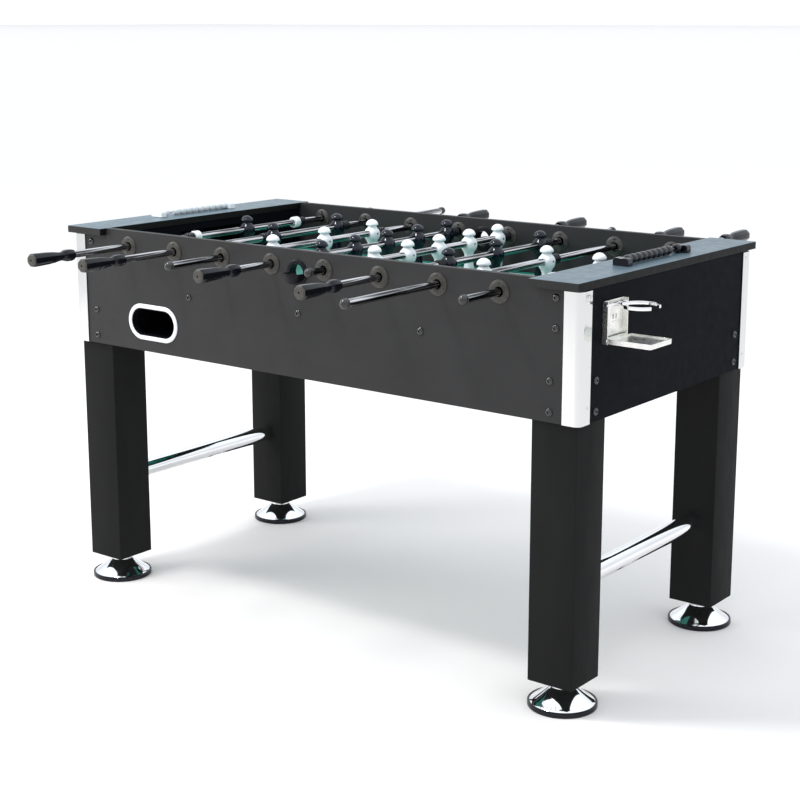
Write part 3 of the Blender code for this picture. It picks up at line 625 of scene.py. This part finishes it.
def bearing(name, x, turn):
    """Two flanges, the bushing between them and each flange's three screws."""
    at_x = x if turn == 0 else -x
    outer = -HALF_W
    shell = turned(((BUSHING_R, outer), (BUSHING_R, outer - 0.0030), (0.0150, outer - 0.0032),
                    (0.0215, outer - 0.0026), (0.0232, outer - 0.0016), (FLANGE_R, outer)),
                   48, ring_closed=True)
    centre = (at_x, 0, ROD_Z)
    piece(f"{name}_outer_flange", moved(along_y(shell), centre), bearing_grey, turn=turn)
    inner = -INNER_W
    shell = turned(((BUSHING_R, inner), (FLANGE_R, inner), (0.0232, inner + 0.0010),
                    (0.0215, inner + 0.0018), (BUSHING_R, inner + 0.0019)),
                   48, ring_closed=True)
    piece(f"{name}_inner_flange", moved(along_y(shell), centre), bearing_dark, turn=turn)
    wide = BUSHING_R - 0.0002
    sleeve = turned(((0.0084, outer + 0.0022), (0.0094, outer - 0.0006), (wide, outer - 0.0018),
                     (wide, inner + 0.0012), (0.0094, inner + 0.0004), (0.0084, inner - 0.0022)),
                    32, ring_closed=True)
    piece(f"{name}_bushing", moved(along_y(sleeve), centre), black_moulded, turn=turn)
    side = -1 if turn == 0 else 1
    for k in range(3):
        a = pi / 2 + 2 * pi * k / 3
        for word, r, y, out in (("screw", 0.0178, HALF_W + 0.0027, side),
                                ("inner_screw", 0.0170, INNER_W - 0.0018, -side)):
            spot = (x + r * cos(a), side * y, ROD_Z + r * sin(a))
            fasten(f"{name}_{word}_{k + 1}", screw_mesh, spot, (0, out, 0))


# -------------------------------------------------------------------- legs and feet
def build_legs():
    for depth, sy in (("front", -1), ("back", 1)):
        for word, sx in (("left", -1), ("right", 1)):
            leg_and_foot(f"{depth}_{word}", sx, sy)
    for word in ("left", "right"):
        low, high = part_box(f"{word}_stretcher")
        centre = (low + high) / 2
        outer, inner = STRETCHER_R, STRETCHER_R - STRETCHER_WALL
        profile = [(inner, low.y), (outer, low.y), (outer, high.y), (inner, high.y)]
        tube = along_y(turned(profile, 48, ring_closed=True))
        piece(f"{word}_chrome_stretcher", tube, chrome, location=(centre.x, 0, centre.z),
              bevel=0.0004, stands_for=(f"{word}_stretcher",))


def leg_and_foot(name, sx, sy):
    low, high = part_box(f"{name}_foot")
    cx, cy = (low.x + high.x) / 2, (low.y + high.y) / 2
    half = LEG_HALF
    leg_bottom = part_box(f"{name}_leg")[0].z
    post = prism([(cx + u, cy + v) for u, v in
                  ((-half, -half), (half, -half), (half, half), (-half, half))],
                 leg_bottom, BOTTOM_Z - GAP)
    uprights = [e for e in post.edges if abs(e.verts[0].co.z - e.verts[1].co.z) > BOARD]
    bmesh.ops.bevel(post, geom=uprights, offset=0.0022, segments=3, profile=0.5,
                    affect="EDGES")
    mesh = to_mesh(f"{name}_post", post)
    reach = INNER_L - GAP
    xs = sorted((sx * reach, sx * (reach - TENON_SIDE)))
    reach = INNER_W - GAP
    ys = sorted((sy * reach, sy * (reach - TENON_SIDE)))
    tenon = block((xs[0], ys[0], BOTTOM_Z - BOARD), (xs[1], ys[1], TENON_TOP_Z))
    mesh = combine(mesh, [tenon], "UNION")
    bore = turned(((FOOT_BORE_R, leg_bottom - BOARD),
                   (FOOT_BORE_R, leg_bottom + FOOT_BORE_DEPTH)), 24)
    mesh = combine(mesh, [moved(bore, (cx, cy, 0))])
    coated(mesh, leg_black)
    place_piece(f"{name}_post", mesh, bevel=0.0006, stands_for=(f"{name}_leg",))
    body = f"{name}_foot"
    height = leg_bottom - GAP - FLOOR_Z
    base_r, neck_r, base_z, rise, flare = 0.0655, 0.0255, 0.0112, 0.0300, 1.12
    cone = [(base_r, 0.0065), (0.0668, 0.0100), (0.0662, 0.0108)]
    for i in range(1, 11):
        t = i / 10
        cone.append((base_r + (neck_r - base_r) * t, base_z + rise * t ** flare))
    cone += [(0.0250, 0.0440), (0.0235, 0.0440), (0.0600, 0.0065)]
    piece(f"{name}_foot_cone", turned(cone, 96, ring_closed=True), chrome, body,
          location=(cx, cy, FLOOR_Z), stands_for=(f"{name}_foot",))
    rim = [(0.0610, 0.0), (0.0690, 0.0), (0.0708, 0.0018), (0.0710, 0.0085),
           (0.0700, 0.0108), (0.0672, 0.0112), (0.0664, 0.0100), (0.0650, 0.0064),
           (0.0610, 0.0064)]
    piece(f"{name}_foot_rubber", turned(rim, 96, ring_closed=True), rubber, body,
          location=(cx, cy, FLOOR_Z))
    collar = [(0.0235, 0.0425)] + rounded_profile(0.0245, 0.0425, height, 0.0015)[2:]
    piece(f"{name}_foot_collar", turned(collar, 48), chrome, body, location=(cx, cy, FLOOR_Z))
    stem = turned([(0.0060, 0.020), (0.0060, height + 0.044), (0.0052, height + 0.045)], 24)
    piece(f"{name}_foot_stem", stem, rod_steel, body, location=(cx, cy, FLOOR_Z))


# ---------------------------------------------------------------------------- rods
def superellipse(half_x, half_y, height, power, segments=28):
    """A ring between an ellipse (power 2) and a rounded rectangle (larger power)."""
    points = []
    for i in range(segments):
        a = 2 * pi * (i + 0.5) / segments
        c, s = cos(a), sin(a)
        x = half_x * abs(c) ** (2 / power) * (1 if c > 0 else -1)
        y = half_y * abs(s) ** (2 / power) * (1 if s > 0 else -1)
        points.append(Vector((x, y, height)))
    return points


def figure_shape():
    """One player: foot, leg, hips, chest round the rod, neck and capped head."""
    sections = (
        (-0.0710, 0.0080, 0.0105, 4.0), (-0.0700, 0.0092, 0.0115, 4.0),
        (-0.0600, 0.0098, 0.0118, 4.0), (-0.0520, 0.0086, 0.0113, 3.6),
        (-0.0440, 0.0074, 0.0110, 3.2), (-0.0320, 0.0074, 0.0112, 3.0),
        (-0.0240, 0.0084, 0.0122, 3.0), (-0.0190, 0.0104, 0.0138, 3.0),
        (-0.0150, 0.0134, 0.0156, 3.0), (-0.0110, 0.0156, 0.0172, 3.0),
        (-0.0060, 0.0168, 0.0179, 3.0), (0.0000, 0.0170, 0.0180, 3.0),
        (0.0045, 0.0164, 0.0173, 3.0), (0.0085, 0.0146, 0.0154, 2.8),
        (0.0120, 0.0122, 0.0128, 2.5), (0.0148, 0.0104, 0.0108, 2.3),
        (0.0170, 0.0098, 0.0100, 2.1), (0.0184, 0.0104, 0.0105, 2.0),
        (0.0191, 0.0132, 0.0133, 2.0), (0.0198, 0.0147, 0.0148, 2.0),
        (0.0212, 0.0151, 0.0152, 2.0), (0.0234, 0.0149, 0.0150, 2.0),
        (0.0262, 0.0137, 0.0138, 2.0), (0.0290, 0.0116, 0.0117, 2.0),
        (0.0313, 0.0088, 0.0089, 2.0), (0.0330, 0.0055, 0.0056, 2.0),
        (0.0338, 0.0020, 0.0020, 2.0),
    )
    return skin([superellipse(hx, hy, z, power) for z, hx, hy, power in sections])


def figure_mesh(name, material):
    hole = along_y(turned(((ROD_R, -0.05), (ROD_R, 0.05)), 32))
    mesh = combine(to_mesh(name, figure_shape()), [hole])
    coated(mesh, material)
    mesh.shade_smooth()
    mesh.set_sharp_from_angle(angle=0.9)
    return mesh


def ribbed_sleeve(bore, radius, length, ribs):
    """Ring with rounded ribs, from z = 0 to its length."""
    profile = [(bore, 0.0), (radius * 0.84, 0.0)]
    pitch = length / ribs
    for k in range(ribs):
        for part, share in ((0.08, 0.90), (0.20, 0.97), (0.38, 1.0), (0.56, 1.0),
                            (0.74, 0.97), (0.86, 0.90), (0.94, 0.80)):
            profile.append((radius * share, (k + part) * pitch))
    profile += [(radius * 0.80, length), (bore, length)]
    return turned(profile, 40, ring_closed=True)


def build_rods():
    dark_man = figure_mesh("dark_figure", figure_dark)
    white_man = figure_mesh("white_figure", figure_white)
    pin = turned([(0.0022, -0.002), (0.0022, 0.0004), (0.0014, 0.0008)], 16)
    pin = coated(to_mesh("pin", pin), rod_steel)
    loose = ribbed_sleeve(RUNNING_R, BUMPER_R, BUMPER_LENGTH, 3)
    bumper_mesh = coated(to_mesh("bumper_ribs", along_y(loose)), rubber)
    tight = ribbed_sleeve(ROD_R, BUMPER_R, BUMPER_LENGTH, 3)
    fixed_bumper = coated(to_mesh("fixed_ribs", along_y(tight)), rubber)
    rim = rounded_profile(COLLAR_R, -COLLAR_HALF_L, COLLAR_HALF_L, 0.0015)
    collar = [(ROD_R, -COLLAR_HALF_L), (ROD_R, COLLAR_HALF_L)] + rim[::-1]
    collar = along_y(turned(collar, 40, ring_closed=True))
    collar_mesh = coated(to_mesh("stop_collar", collar), white_moulded)
    cap = [(0.0090, 0.0), (0.0099, 0.0005), (0.0099, 0.0024), (0.0088, 0.0031)]
    for i in range(-2, 8):
        a = pi / 2 * i / 8
        cap.append((0.0098 * cos(a), 0.0066 + 0.0094 * sin(a)))
    cap_mesh = coated(to_mesh("end_cap", along_y(turned(cap, 40))), cap_rubber_painted_highlight)
    grip_mesh = handle_mesh()

    for number, centre in enumerate(RODS, 1):
        men = MEN_ON_ROD[min(number, 9 - number)]
        dark = number in DARK_RODS
        goalie = number in GOALIE_RODS
        body = f"rod_{number}"
        turn = 0 if dark else pi
        way = 1 if dark else -1

        def at(y, centre=centre, way=way):
            return (centre.x, centre.y + way * y, centre.z)

        grip_low, grip_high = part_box(f"handle_{number}")
        reach = centre.y - grip_low.y if dark else grip_high.y - centre.y
        low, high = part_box(f"rod_{number}")
        tip = high.y - centre.y if dark else centre.y - low.y
        tube_end = reach - TUBE_INSIDE_GRIP
        cap_start = tip - CAP_LENGTH
        profile = [(ROD_BORE_R, -tube_end), (ROD_R, -tube_end), (ROD_R, cap_start),
                   (ROD_BORE_R, cap_start)]
        tube = along_y(turned(profile, 32, ring_closed=True))
        piece(f"rod_tube_{number}", tube, rod_steel, body, location=tuple(centre), turn=turn,
              stands_for=(f"rod_{number}",))
        place_piece(f"end_cap_{number}", cap_mesh, body, location=at(cap_start), turn=turn)
        place_piece(f"grip_{number}", grip_mesh, body, location=at(-reach), turn=turn,
                    sharp=0.3, stands_for=(f"handle_{number}",))
        stop = STOP_COLLAR_Y + COLLAR_HALF_L if goalie else max(men) + MAN_HALF_W
        place_piece(f"fixed_bumper_{number}", fixed_bumper, body,
                    location=at(-stop - BUMPER_LENGTH - GAP), turn=turn)
        place_piece(f"loose_bumper_{number}", bumper_mesh, f"{body}_carriage",
                    location=at(stop + GAP), turn=turn, stands_for=(f"bumper_{number}",))
        for k, y in enumerate(men, 1):
            label = f"figure_{number}_{k}"
            place_piece(label, dark_man if dark else white_man, body,
                        location=at(y), turn=turn, sharp=0.9)
            for face, side in (("left", -1), ("right", 1)):
                spot = (centre.x + side * MAN_FACE_X, centre.y + way * y, centre.z)
                fasten(f"{label}_{face}_pin", pin, spot, (side, 0, 0), body)
        if goalie:
            for word, y in (("near", -STOP_COLLAR_Y), ("far", STOP_COLLAR_Y)):
                place_piece(f"stop_collar_{number}_{word}", collar_mesh, body,
                            location=at(y), turn=turn)


def handle_mesh():
    """Eight-sided grip, its closed end at y = 0 and its mouth at +Y."""
    stations = (
        (0.0000, 0.0118), (0.0006, 0.0130), (0.0030, 0.0150), (0.0045, 0.0153),
        (0.0200, 0.0152), (0.0450, 0.0142), (0.0620, 0.0128), (0.0740, 0.0108),
        (0.0810, 0.0099), (0.0870, 0.0103), (0.0930, 0.0128), (0.0980, 0.0137),
        (0.1090, 0.0138), (0.1140, 0.0130), (0.1180, 0.0119),
    )
    shape = along_y(turned([(r, y) for y, r in stations], 8))
    edges = []
    for edge in shape.edges:
        a, b = (Vector((v.co.x, 0, v.co.z)).normalized() for v in edge.verts)
        if a.dot(b) > 0.99:
            edges.append(edge)
    bmesh.ops.bevel(shape, geom=edges, offset=0.0011, segments=2, profile=0.6,
                    affect="EDGES")
    socket = along_y(turned(((0.0084, 0.018), (0.0084, 0.15)), 32))
    dimple = along_y(turned(((0.0022, -0.01), (0.0022, 0.006)), 16))
    mesh = combine(to_mesh("octagonal_grip", shape), [socket, dimple])
    coated(mesh, grip_black, grip_end_painted_light)
    # the end faces take the lighter copy of the grip moulding: painted light
    for face in mesh.polygons:
        if face.normal.y < -0.6 and face.center.y < 0.002:
            face.material_index = 1
    return mesh


# --------------------------------------------------------------------------- scorers
def bead_profile(pitch):
    """Bead with a round crest between two necks, and a bore."""
    bore, radius, half = 0.0038, 0.0095, pitch / 2
    rise = ((-half + GAP, 0.70), (-half + 0.0012, 0.74), (-0.0076, 0.87), (-0.0058, 0.945),
            (-0.0040, 0.985), (-0.0018, 1.0))
    crest = [(radius * share, half + at) for at, share in rise]
    crest += [(radius * share, half - at) for at, share in reversed(rise)]
    return [(bore, GAP)] + crest + [(bore, pitch - GAP)]


def scorer_block(way, foot_z):
    """Wide, low end block of a scorer with rounded shoulders."""
    half, top, round_r, steps = SCORER_BLOCK_HALF_W, SCORER_BLOCK_TOP, 0.006, 5
    shoulder = [(half - round_r + round_r * cos(a), top - round_r + round_r * sin(a))
                for a in (pi / 2 * k / steps for k in range(steps + 1))]
    outline = [(-half, foot_z), (half, foot_z)] + shoulder
    outline += [(-x, z) for x, z in reversed(shoulder)]
    low_y, high_y = sorted((way * SCORER_REACH, way * (SCORER_REACH - SCORER_BLOCK)))
    return skin([[Vector((x, y, z)) for x, z in outline] for y in (low_y, high_y)])


def build_scorers():
    pitch = BEAD_PITCH
    first = SCORER_REACH - SCORER_BLOCK
    for word, side, material in (("left", -1, white_moulded), ("right", 1, bead_black)):
        low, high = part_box(f"{word}_scorer_rail")
        x = (low.x + high.x) / 2
        z = TOP_Z + SCORER_RISE
        turn = 0 if side > 0 else pi
        rod_r = 0.0030
        rod_reach = SCORER_REACH - rod_r
        rod = along_y(turned(((rod_r, -rod_reach), (rod_r, rod_reach)), 24))
        piece(f"{word}_scorer_rod", rod, material, location=(x, 0, z),
              stands_for=(f"{word}_scorer_rail",))
        for end, way in (("near", -1), ("far", 1)):
            piece(f"{word}_scorer_{end}_block", scorer_block(way, low.z - z), material,
                  location=(x, 0, z), turn=turn, bevel=0.0012)
        bead = along_y(turned(bead_profile(pitch), 32, True))
        mesh = coated(to_mesh(f"{word}_bead", bead), material)
        way = 1 if side > 0 else -1
        for k in range(9):
            y = way * (-first + k * pitch)
            place_piece(f"{word}_bead_{k + 1}", mesh, f"{word}_scorer_beads",
                        location=(x, y, z), turn=turn,
                        stands_for=(f"{word}_scorer_beads",) if k == 0 else ())
        y = way * (first - pitch)
        place_piece(f"{word}_bead_10", mesh, location=(x, y, z), turn=turn)


# ------------------------------------------------------------------------ cup holder
def build_cup_holder():
    low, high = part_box("cup_holder_plate")
    sheet = 0.002
    outline = [
        (low.x, low.y), (high.x, low.y), (high.x, low.y + sheet),
        (low.x + sheet, low.y + sheet), (low.x + sheet, high.y - sheet),
        (high.x, high.y - sheet), (high.x, high.y), (low.x, high.y),
    ]
    mesh = to_mesh("cup_plate", prism(outline, low.z, high.z))
    marks_y = (low.y + high.y) / 2 + 0.0040
    cuts = []
    for side in (-1, 1):
        slot = prism(stadium(0.0050, 0.0015, 8), low.x - 0.01, low.x + 0.01)
        slot = moved(slot, turn=(pi / 2, "Y"))
        slot = moved(slot, (0, marks_y + side * 0.0056, high.z - 0.0335))
        cuts.append(slot)
    mesh = combine(mesh, cuts)
    coated(mesh, holder_metal_painted_reflections)
    place_piece("cup_plate", mesh, bevel=0.0005, stands_for=("cup_holder_plate",))
    inside = low.x + sheet
    ridge = block((inside, marks_y - 0.0085, high.z - 0.0450),
                  (inside + 0.0020, marks_y + 0.0065, high.z - 0.0420))
    piece("cup_plate_ridge", ridge, holder_metal_painted_reflections, bevel=0.0006)
    for end, y0, way in (("near", low.y + sheet, 1), ("far", high.y - sheet, -1)):
        ys = sorted((y0, y0 + way * 0.0030))
        fold = block((inside, ys[0], low.z + 0.018), (inside + 0.0012, ys[1], high.z - 0.012))
        piece(f"cup_plate_{end}_fold", fold, holder_metal_painted_reflections, bevel=0.0004)
    hinges = {j["child"]: Vector(j["pos_m"]) for j in frame["joints"]
              if j["name"].startswith("cup_holder")}
    hoop_at = hinges["cup_holder_hoop"]
    shelf_at = hinges["cup_holder_shelf"]
    for name, at in (("upper", hoop_at), ("lower", shelf_at)):
        for end, side in (("near", -1), ("far", 1)):
            y = low.y if side < 0 else high.y
            fasten(f"cup_{name}_{end}_rivet", rivet_mesh, (at.x, y, at.z), (0, side, 0))
    build_hoop(hoop_at)
    build_shelf(shelf_at)


def build_hoop(at):
    """C-shaped hoop of rounded strip, its hinge bar and the two straps between them."""
    reach, radius, thick, half = 0.051, 0.0350, 0.0035, 0.0035
    bar_r, bar_half = 0.0028, 0.0362
    strap_l, strap_y, strap_half_w, strap_half_h = 0.016, 0.013, 0.003, 0.0027
    shapes = [along_y(turned(((bar_r, -bar_half), (bar_r, bar_half)), 24))]
    steps, gap_angle, squareness = 48, 0.50, 0.6
    rings = []
    for i in range(steps + 1):
        a = gap_angle + (2 * pi - 2 * gap_angle) * i / steps
        ring = []
        for k in range(12):
            b = 2 * pi * (k + 0.5) / 12
            out = abs(cos(b)) ** squareness * (1 if cos(b) > 0 else -1)
            up = abs(sin(b)) ** squareness * (1 if sin(b) > 0 else -1)
            r = radius + thick / 2 + thick / 2 * out
            z = half * up
            ring.append(Vector((reach + r * cos(a), r * sin(a), z)))
        rings.append(ring)
    shapes.append(skin(rings))
    for side in (-1, 1):
        shapes.append(block((0, side * strap_y - strap_half_w, -strap_half_h),
                            (strap_l, side * strap_y + strap_half_w, strap_half_h)))
    mesh = combine(to_mesh("cup_hoop", shapes[0]), shapes[1:], "UNION")
    coated(mesh, chrome)
    place_piece("cup_hoop", mesh, "cup_holder_hoop", location=tuple(at),
                stands_for=("cup_holder_hoop",))


def build_shelf(at):
    """Tray under the cup: a tongue between the cheeks, a shallow well, a raised rim."""
    half_w, length, corner, rim, depth = 0.0415, 0.0984, 0.003, 0.003, 0.0030
    tongue, tongue_half, tongue_back = 0.0085, 0.0360, -0.002
    low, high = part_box("cup_holder_shelf")
    half_h = (high.z - low.z) / 2

    def front(inset):
        y, far = half_w - inset, length - inset
        return [(far - corner, -y), (far, -y + corner), (far, y - corner), (far - corner, y)]

    outline = [(tongue_back, -tongue_half), (tongue, -tongue_half), (tongue, -half_w)]
    outline += front(0)
    outline += [(tongue, half_w), (tongue, tongue_half), (tongue_back, tongue_half)]
    body = prism(outline, -half_h, half_h)
    back, inner = tongue + rim, half_w - rim
    well = prism([(back, -inner)] + front(rim) + [(back, inner)], half_h - depth, half_h * 3)
    mesh = combine(to_mesh("cup_shelf", body), [well])
    coated(mesh, holder_metal_painted_reflections)
    place_piece("cup_shelf", mesh, "cup_holder_shelf", location=tuple(at),
                bevel=0.0008, stands_for=("cup_holder_shelf",))


# --------------------------------------------------------------------- outside screws
def build_bolts():
    """Bolts of the legs and the end boards at the corners, and of the pitch between them."""
    low_pair = (-0.077, -0.138)
    corner_bolts = [(0.645, 0.0845), (0.645, 0.026)] + [(0.634, z) for z in low_pair]
    end_y, middle_x, middle_z = 0.290, 0.326, -0.017
    for depth, sy in (("front", -1), ("back", 1)):
        for word, sx in (("left", -1), ("right", 1)):
            name = f"{depth}_{word}"
            for k, (x, z) in enumerate(corner_bolts, 1):
                spot = (sx * x, sy * HALF_W, z)
                fasten(f"{name}_side_bolt_{k}", bolt_mesh, spot, (0, sy, 0))
            for k, z in enumerate(low_pair, 1):
                spot = (sx * HALF_L, sy * end_y, z)
                fasten(f"{name}_end_bolt_{k}", bolt_mesh, spot, (sx, 0, 0))
        for k, x in enumerate((-middle_x, 0.0, middle_x), 1):
            spot = (x, sy * HALF_W, middle_z)
            fasten(f"{depth}_middle_bolt_{k}", bolt_mesh, spot, (0, sy, 0))


build_cabinet()
build_trims()
build_pitch()
build_openings()
build_legs()
build_rods()
build_scorers()
build_cup_holder()
build_bolts()


# ------------------------------------------------------------- floor, light, camera
def build_stage():
    reach, thick = 400, 0.02
    slab = block((-reach, -reach, FLOOR_Z - thick), (reach, reach, FLOOR_Z))
    floor = bpy.data.objects.new("floor", to_mesh("floor", slab))
    pale = bpy.data.materials.new("floor_pale")
    pale.use_nodes = True
    paint = pale.node_tree.nodes["Principled BSDF"]
    paint.inputs["Base Color"].default_value = (0.91, 0.86, 0.84, 1)
    paint.inputs["Roughness"].default_value = 0.8
    floor.data.materials.append(pale)
    bpy.context.scene.collection.objects.link(floor)
    build_sky()
    bpy.context.scene.view_settings.view_transform = "Standard"
    for name, spot, size, power in (("softbox", (-0.9, -1.3, 2.6), 0.5, 48),
                                    ("key", (-3.4, -2.6, 1.6), 1.6, 60)):
        light = bpy.data.lights.new(name, "AREA")
        light.size = size
        light.energy = power
        aim(name, light, spot)
    lens = bpy.data.cameras.new("camera")
    lens.lens = 72.4
    lens.sensor_width = 36
    lens.shift_y = -0.05
    camera = bpy.data.objects.new("camera", lens)
    camera.location = (2.236, -2.876, 0.593)
    camera.rotation_euler = (radians(90 - 11.925), 0, radians(37.825))
    bpy.context.scene.collection.objects.link(camera)
    bpy.context.scene.camera = camera


def aim(name, light, spot):
    """Hang a light at a spot, pointing at the middle of the table."""
    lamp = bpy.data.objects.new(name, light)
    lamp.location = spot
    way = Vector((0, 0, -0.2)) - Vector(spot)
    lamp.rotation_euler = way.to_track_quat("-Z", "Y").to_euler()
    bpy.context.scene.collection.objects.link(lamp)


def build_sky():
    """Brightest overhead and dimmer near the horizon, so that metal shows contrast."""
    world = bpy.data.worlds.new("studio")
    world.use_nodes = True
    nodes = world.node_tree.nodes
    link = world.node_tree.links.new
    place = nodes.new("ShaderNodeTexCoord")
    split = nodes.new("ShaderNodeSeparateXYZ")
    ramp = nodes.new("ShaderNodeValToRGB")
    link(place.outputs["Generated"], split.inputs["Vector"])
    link(split.outputs["Z"], ramp.inputs["Fac"])
    link(ramp.outputs["Color"], nodes["Background"].inputs["Color"])
    bands = ramp.color_ramp.elements
    bands[0].position = 0.04
    bands[0].color = (0.84, 0.84, 0.84, 1)
    bands[1].position = 0.12
    bands[1].color = (0.60, 0.62, 0.66, 1)
    zenith = bands.new(0.60)
    zenith.color = (0.88, 0.95, 1.0, 1)
    nodes["Background"].inputs["Strength"].default_value = 1.3
    bpy.context.scene.world = world


build_stage()
